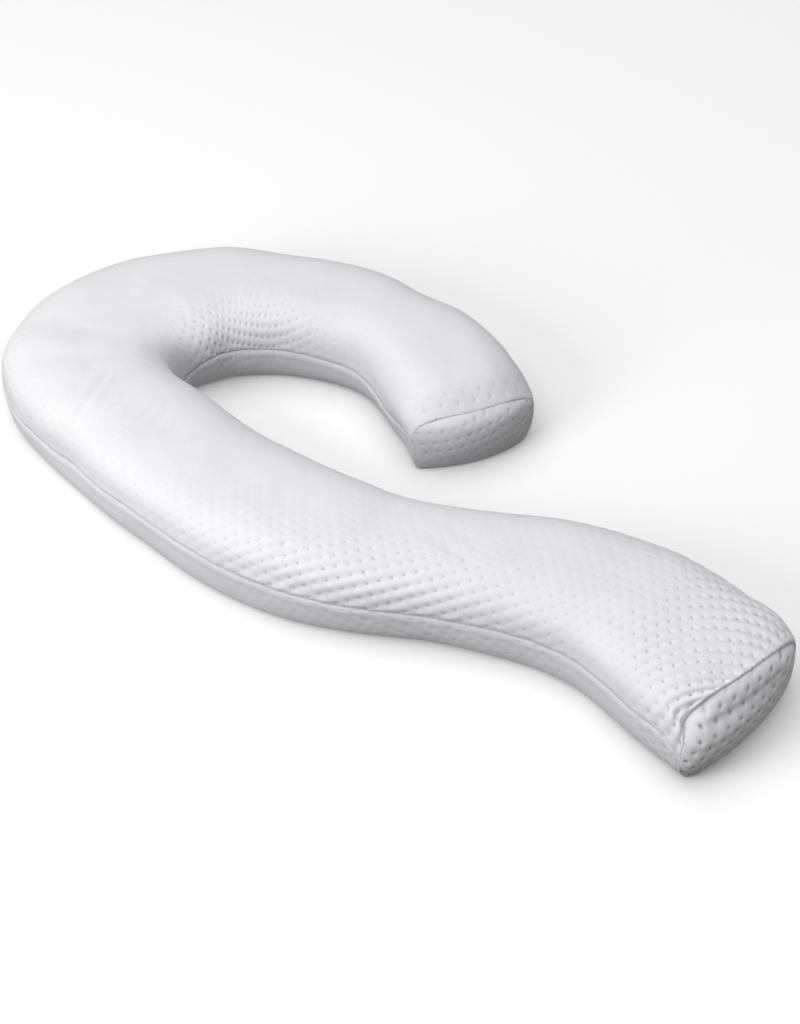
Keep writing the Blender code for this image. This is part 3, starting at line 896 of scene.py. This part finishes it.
# row: the body's first or last row. towards: the way in which the end faces.
# dome: height of the bulge in mm. turn: how far it faces round, in degrees.
# grain: direction of the knit's rows on it, in degrees. fullness: how flat the
# bulge is, low for a lens and high for a flat panel with a tight edge. loose: how
# slack the knit lies.
ENDS = [
    ("end_panel_hook", 0, -1.0, 17.0, 0.0, 66.0, 2.8, 0.42),
    ("end_panel_tail", -1, 1.0, 21.0, 32.0, 5.0, 6.0, 1.0),
]


def even_points(curve, count):
    """The curve again with evenly spaced points."""
    length = np.concatenate([[0.0], np.cumsum(np.linalg.norm(np.diff(curve, axis=0), axis=1))])
    places = np.linspace(0.0, length[-1], count)
    return np.stack([np.interp(places, length, curve[:, k]) for k in range(curve.shape[1])], 1)


def stretched_grid(left, right, bottom, top):
    """A grid of places between four edges that meet at their corners."""
    across = np.linspace(0.0, 1.0, len(bottom))[:, None, None]
    up = np.linspace(0.0, 1.0, len(left))[None, :, None]
    ruled_up = bottom[:, None] * (1.0 - up) + top[:, None] * up
    ruled_across = left[None] * (1.0 - across) + right[None] * across
    corners = (bottom[0] * (1 - across) * (1 - up) + bottom[-1] * across * (1 - up)
               + top[0] * (1 - across) * up + top[-1] * across * up)
    return ruled_up + ruled_across - corners


def end_steps():
    """Places across an end panel's grid and up it, from -1 to 1."""
    return (np.linspace(-1.0, 1.0, END_TOP + 1)[:, None],
            np.linspace(-1.0, 1.0, END_SIDE + 1)[None, :])


def lay_end(name, row, towards, dome, turn, grain, fullness):
    """Places of an end panel's grid, from the ring in which the two panels end."""
    rib = natural_spline(rib_runs, RIBS, runs[[row]])[0]
    middle, half, aside, ahead = section_frame(rib[0:2] - CENTRE[:2], rib[2:4] - CENTRE[:2])
    bow, rake = rib[4:6]

    def lead(across, height):
        hook_lean = HOOK_LEAN * height / CROWN_HEIGHT if towards < 0.0 else 0.0
        return crown_lead(bow, rake, across / half, height) + hook_lean

    def ring_part(name, corner):
        """A panel's end as (across, height, ahead), and where its two corners are."""
        panel = panels[name]
        offset, height = panel["spot"][row, :, :2] - middle, panel["spot"][row, :, 2]
        across = offset @ aside
        inner = np.flatnonzero(np.abs(panel["arc"][row]) <= corner * panel["edge"][row])
        part = np.stack([across, height, offset @ ahead - lead(across, height)], 1)
        return part, inner[0], inner[-1]

    over, top_left, top_right = ring_part("top", SHOULDER)
    under, low_left, low_right = ring_part("bottom", HEEL)
    left = np.concatenate([under[:low_left + 1][::-1], over[1:top_left + 1]])
    right = np.concatenate([under[low_right:], over[top_right:-1][::-1]])
    grid = stretched_grid(even_points(left, END_SIDE + 1), even_points(right, END_SIDE + 1),
                          even_points(under[low_left:low_right + 1], END_TOP + 1),
                          even_points(over[top_left:top_right + 1], END_TOP + 1))
    across, height = grid[..., 0], grid[..., 1]
    sideways, upward = end_steps()
    share = np.abs(sideways) ** RIM_POWER + np.abs(upward) ** RIM_POWER
    share = np.clip(share ** (1.0 / RIM_POWER), 0.0, 1.0)
    facing = math.radians(turn)
    away = ahead * towards * math.cos(facing) - aside * math.sin(facing)
    low = END_BASE + (1.0 - END_BASE) * smooth_step(height, 0.0, BASE_REACH)
    bulge = dome * (1.0 - share ** fullness) * low
    forward = lead(across, height) + grid[..., 2]
    spot = (middle + aside * across[..., None] + ahead * forward[..., None]
            + away * bulge[..., None])
    flat = np.stack(turned_by(-math.radians(grain), across, height), 2)
    return {"place": np.concatenate([spot, height[..., None]], 2), "share": share,
            "flat": flat, "away": away, "name": name}


# name of the end, place across it and up it from -1 to 1, reach, rise in mm
PUFFS = [
    ("end_panel_tail", -0.80, 0.42, 0.15, 3.5),
    ("end_panel_tail", 0.80, 0.35, 0.30, 3.0),
    ("end_panel_hook", -0.80, 0.30, 0.25, 1.5),
]


def dress_end(panel, loose, seed):
    """Adds the knit, a soft unevenness and the puffs to an end panel."""
    x, y = panel["flat"][..., 0], panel["flat"][..., 1]
    normal = grid_normals(panel["place"], (*panel["away"], 0.0))
    rim = 1.0 - panel["share"]
    inside = smooth_step(rim, 0.01, 0.06) * smooth_step(panel["place"][..., 2], 8.0, 40.0)
    rise = knit_relief(x, y, np.full(x.shape, loose), 0.0) * inside
    rise += 0.5 * soft_noise(x, y, 26.0, seed) * inside
    sideways, upward = end_steps()
    for end, across, up, reach, high in PUFFS:
        if end == panel["name"]:
            puff = hill((sideways - across) / reach, (upward - up) / (1.6 * reach))
            rise += high * puff * smooth_step(rim, 0.0, 0.08)
    spot = panel["place"] + normal * rise[..., None]
    spot[..., 2] = np.maximum(spot[..., 2], 0.0)
    return spot


for name, *form, slackness in ENDS:
    end = lay_end(name, *form)
    back = -np.array([*end["away"], 0.0]) * ALLOWANCE
    wide = turned_in(dress_end(end, slackness, END_SEED), (back, back), (back, back))
    loose = with_edge(np.full(end["share"].shape, slackness))
    item = pieces[name] = cloth_mesh(name + "_cloth", wide, with_edge(end["flat"]), loose, False)
    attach(item, "root")
    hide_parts(name)
    print(item.name, len(item.data.polygons), "faces")

# %% [markdown]
# The cover is a white polyester knit. Colours are given as sRGB hex codes and
# turned into linear light by one function. The pattern of ties is worked out once
# more in the material, from the same place on the flat cloth, so that the small
# shaded dimples fall exactly into the modelled ones.

# %% Material helpers
def linear(code):
    """Linear colour of an sRGB hex code."""
    parts = [int(code[k:k + 2], 16) / 255.0 for k in (0, 2, 4)]
    return [part / 12.92 if part <= 0.04045 else ((part + 0.055) / 1.055) ** 2.4
            for part in parts] + [1.0]


def add_node(tree, kind, settings, inputs, output=0):
    """Adds a shader node and gives its output. inputs: values, or sockets that feed them."""
    node = tree.nodes.new("ShaderNode" + kind)
    for key, value in settings.items():
        setattr(node, key, value)
    for key, value in inputs.items():
        if isinstance(value, bpy.types.NodeSocket):
            tree.links.new(value, node.inputs[key])
        else:
            node.inputs[key].default_value = value
    return node.outputs[output]


def reckon(tree, operation, *values, kind="Math", output=0, clamp=False):
    """Adds a node that calculates with numbers or, if kind says so, with vectors."""
    settings = {"operation": operation, "use_clamp": True} if clamp else {"operation": operation}
    return add_node(tree, kind, settings, dict(enumerate(values)), output)


def new_material(name):
    """A new material, its node tree and its Principled shader."""
    item = bpy.data.materials.new(name)
    item.use_nodes = True
    return item, item.node_tree, item.node_tree.nodes["Principled BSDF"]


# %% [markdown]
# The dimple pattern is two square lattices, one shifted by half a step. The
# distance to the nearest tie gives a dent and a soft spot of painted shade, for
# the shade that falls into the dimple. The stitches of such a knit are about
# 1 mm wide; they are drawn 3 mm wide here, because anything finer would vanish
# between the pixels.

# %% Knit
STITCH = 0.003  # width of a drawn stitch, in metres
VECTORS = "VectorMath"
WAVE_SCALE = 0.314  # scale of a wave texture whose bands are 1 m wide


def tie_distance(tree, shift, place):
    """Distance in mm to the nearest tie of one lattice."""
    moved = reckon(tree, "ADD", place, (shift, shift, 0.0), kind=VECTORS)
    cell = reckon(tree, "FRACTION", moved, kind=VECTORS)
    middle = reckon(tree, "SUBTRACT", cell, (0.5, 0.5, 0.0), kind=VECTORS)
    sized = reckon(tree, "MULTIPLY", middle, (TIE_ALONG, TIE_ROWS, 0.0), kind=VECTORS)
    return reckon(tree, "LENGTH", sized, kind=VECTORS, output="Value")


def knit_material(name, thread, shade, radius):
    """White knit with painted dimple shade. thread: its colour, shade: painted shade in a dimple.
    """
    item, tree, shader = new_material(name)
    cloth = add_node(tree, "UVMap", {"uv_map": "flat_cloth"}, {})
    turned = add_node(tree, "VectorRotate", {"rotation_type": "Z_AXIS"},
                      {"Vector": cloth, "Angle": -LATTICE_TURN})
    steps = reckon(tree, "MULTIPLY", turned, (1000.0 / TIE_ALONG, 1000.0 / TIE_ROWS, 0.0),
                   kind=VECTORS)
    nearest = reckon(tree, "MINIMUM", *(tie_distance(tree, shift, steps) for shift in (0.0, 0.5)))
    dimple = add_node(tree, "MapRange", {"interpolation_type": "SMOOTHSTEP"},
                      {"Value": nearest, "From Min": 0.6, "From Max": radius,
                       "To Min": 1.0, "To Max": 0.0})
    loose = add_node(tree, "Attribute", {"attribute_name": "loose"}, {}, "Fac")
    uneven = add_node(tree, "TexNoise", {}, {"Vector": cloth, "Scale": 38.0, "Detail": 1.0})
    strength = add_node(tree, "MapRange", {}, {"Value": uneven, "From Min": 0.35,
                                               "From Max": 0.65, "To Min": 0.35, "To Max": 1.0})
    visible = reckon(tree, "MULTIPLY", loose, strength, clamp=True)
    # painted shade in the dimples, stronger where the cloth is loose; the same mask dents the bump
    spot = reckon(tree, "MULTIPLY", dimple, visible)
    # slow change of tone: the thread takes the light unevenly
    cloudy = add_node(tree, "TexNoise", {}, {"Vector": cloth, "Scale": 9.0, "Detail": 4.0})
    tone = add_node(tree, "MapRange", {}, {"Value": cloudy, "To Min": 0.0, "To Max": 0.12})
    # the dimples' painted shade plus the slow random tone darken the thread towards the shade
    # colour
    darker = reckon(tree, "MULTIPLY_ADD", spot, 0.55, tone, clamp=True)
    colour = add_node(tree, "Mix", {"data_type": "RGBA"},
                      {"Factor": darker, 6: linear(thread), 7: linear(shade)}, 2)
    tree.links.new(colour, shader.inputs["Base Color"])

    stitches = reckon(tree, "ADD", *(add_node(
        tree, "TexWave", {"bands_direction": way},
        {"Vector": turned, "Scale": WAVE_SCALE / STITCH, "Distortion": 1.2}, 1) for way in "XY"))
    fine = add_node(tree, "Bump", {}, {"Strength": 0.25, "Distance": 0.0004, "Height": stitches})
    dented = add_node(tree, "Bump", {}, {"Strength": 0.8, "Distance": 0.0012, "Normal": fine,
                                         "Height": reckon(tree, "MULTIPLY", spot, -1.0)})
    tree.links.new(dented, shader.inputs["Normal"])
    rough = add_node(tree, "MapRange", {}, {"Value": cloudy, "To Min": 0.84, "To Max": 0.96})
    tree.links.new(rough, shader.inputs["Roughness"])
    shader.inputs["Specular IOR Level"].default_value = 0.12
    shader.inputs["Sheen Weight"].default_value = 0.06
    shader.inputs["Sheen Roughness"].default_value = 0.5
    return item


# white polyester knit of the top and bottom panels
cover_knit = knit_material("white_knit_cover", "E6E6E8", "8A8B90", 3.6)
# the same knit on the end panels, less stretched, so its dimples are wider; its thread is a touch
# darker and the painted shade in its dimples much darker
end_knit = knit_material("white_knit_end_panel", "E4E4E6", "66676C", 4.6)
for name, item in pieces.items():
    item.data.materials.append(cover_knit if name in panels else end_knit)
    print(item.name, "is made of", item.data.materials[0].name)

# %% [markdown]
# The pillow lies on a plain white floor in a soft studio light. A broad light
# comes from overhead, and a softbox stands low in front, so the top is bright,
# the near side is a little darker and the ends are in soft shade.

# %% Stage and light
FLOOR_HALF = 6.0
FLOOR_DROP = 0.0005  # metres below the pillow, so that the two don't coincide
WORLD_LIGHT = 0.20
mesh = bmesh.new()
bmesh.ops.create_grid(mesh, x_segments=1, y_segments=1, size=FLOOR_HALF)
bmesh.ops.translate(mesh, verts=mesh.verts, vec=(0.0, 0.0, -FLOOR_DROP))
floor = mesh_object("floor", mesh)
floor_paint, _, floor_shader = new_material("white_studio_floor")
floor_shader.inputs["Base Color"].default_value = linear("FFFFFF")
floor_shader.inputs["Roughness"].default_value = 0.95
floor_shader.inputs["Specular IOR Level"].default_value = 0.0
floor.data.materials.append(floor_paint)
floor.visible_diffuse = False

world = bpy.data.worlds.new("studio")
world.use_nodes = True
sky = world.node_tree.nodes["Background"].inputs
sky["Color"].default_value, sky["Strength"].default_value = linear("FFFFFF"), WORLD_LIGHT
bpy.context.scene.world = world
bpy.context.scene.view_settings.view_transform = "Standard"

# name: kind, place, aim, width of the light (degrees or metres), strength
LAMPS = {
    "overhead_light": ("SUN", (-0.3, -0.2, 3.0), (0.0, 0.0, 0.0), 80.0, 2.0),
    "front_softbox": ("AREA", (-0.6, -2.8, 1.4), (-0.1, 0.0, 0.0), 1.6, 52.0),
}
for name, (kind, place, aim, width, strength) in LAMPS.items():
    lamp = add_object(name, bpy.data.lights.new(name, kind))
    if kind == "SUN":
        lamp.data.angle = math.radians(width)
    else:
        lamp.data.size = width
    lamp.data.energy = strength
    lamp.location = place
    lamp.rotation_euler = (Vector(aim) - Vector(place)).to_track_quat("-Z", "Y").to_euler()
    print(name, "shines from", place)
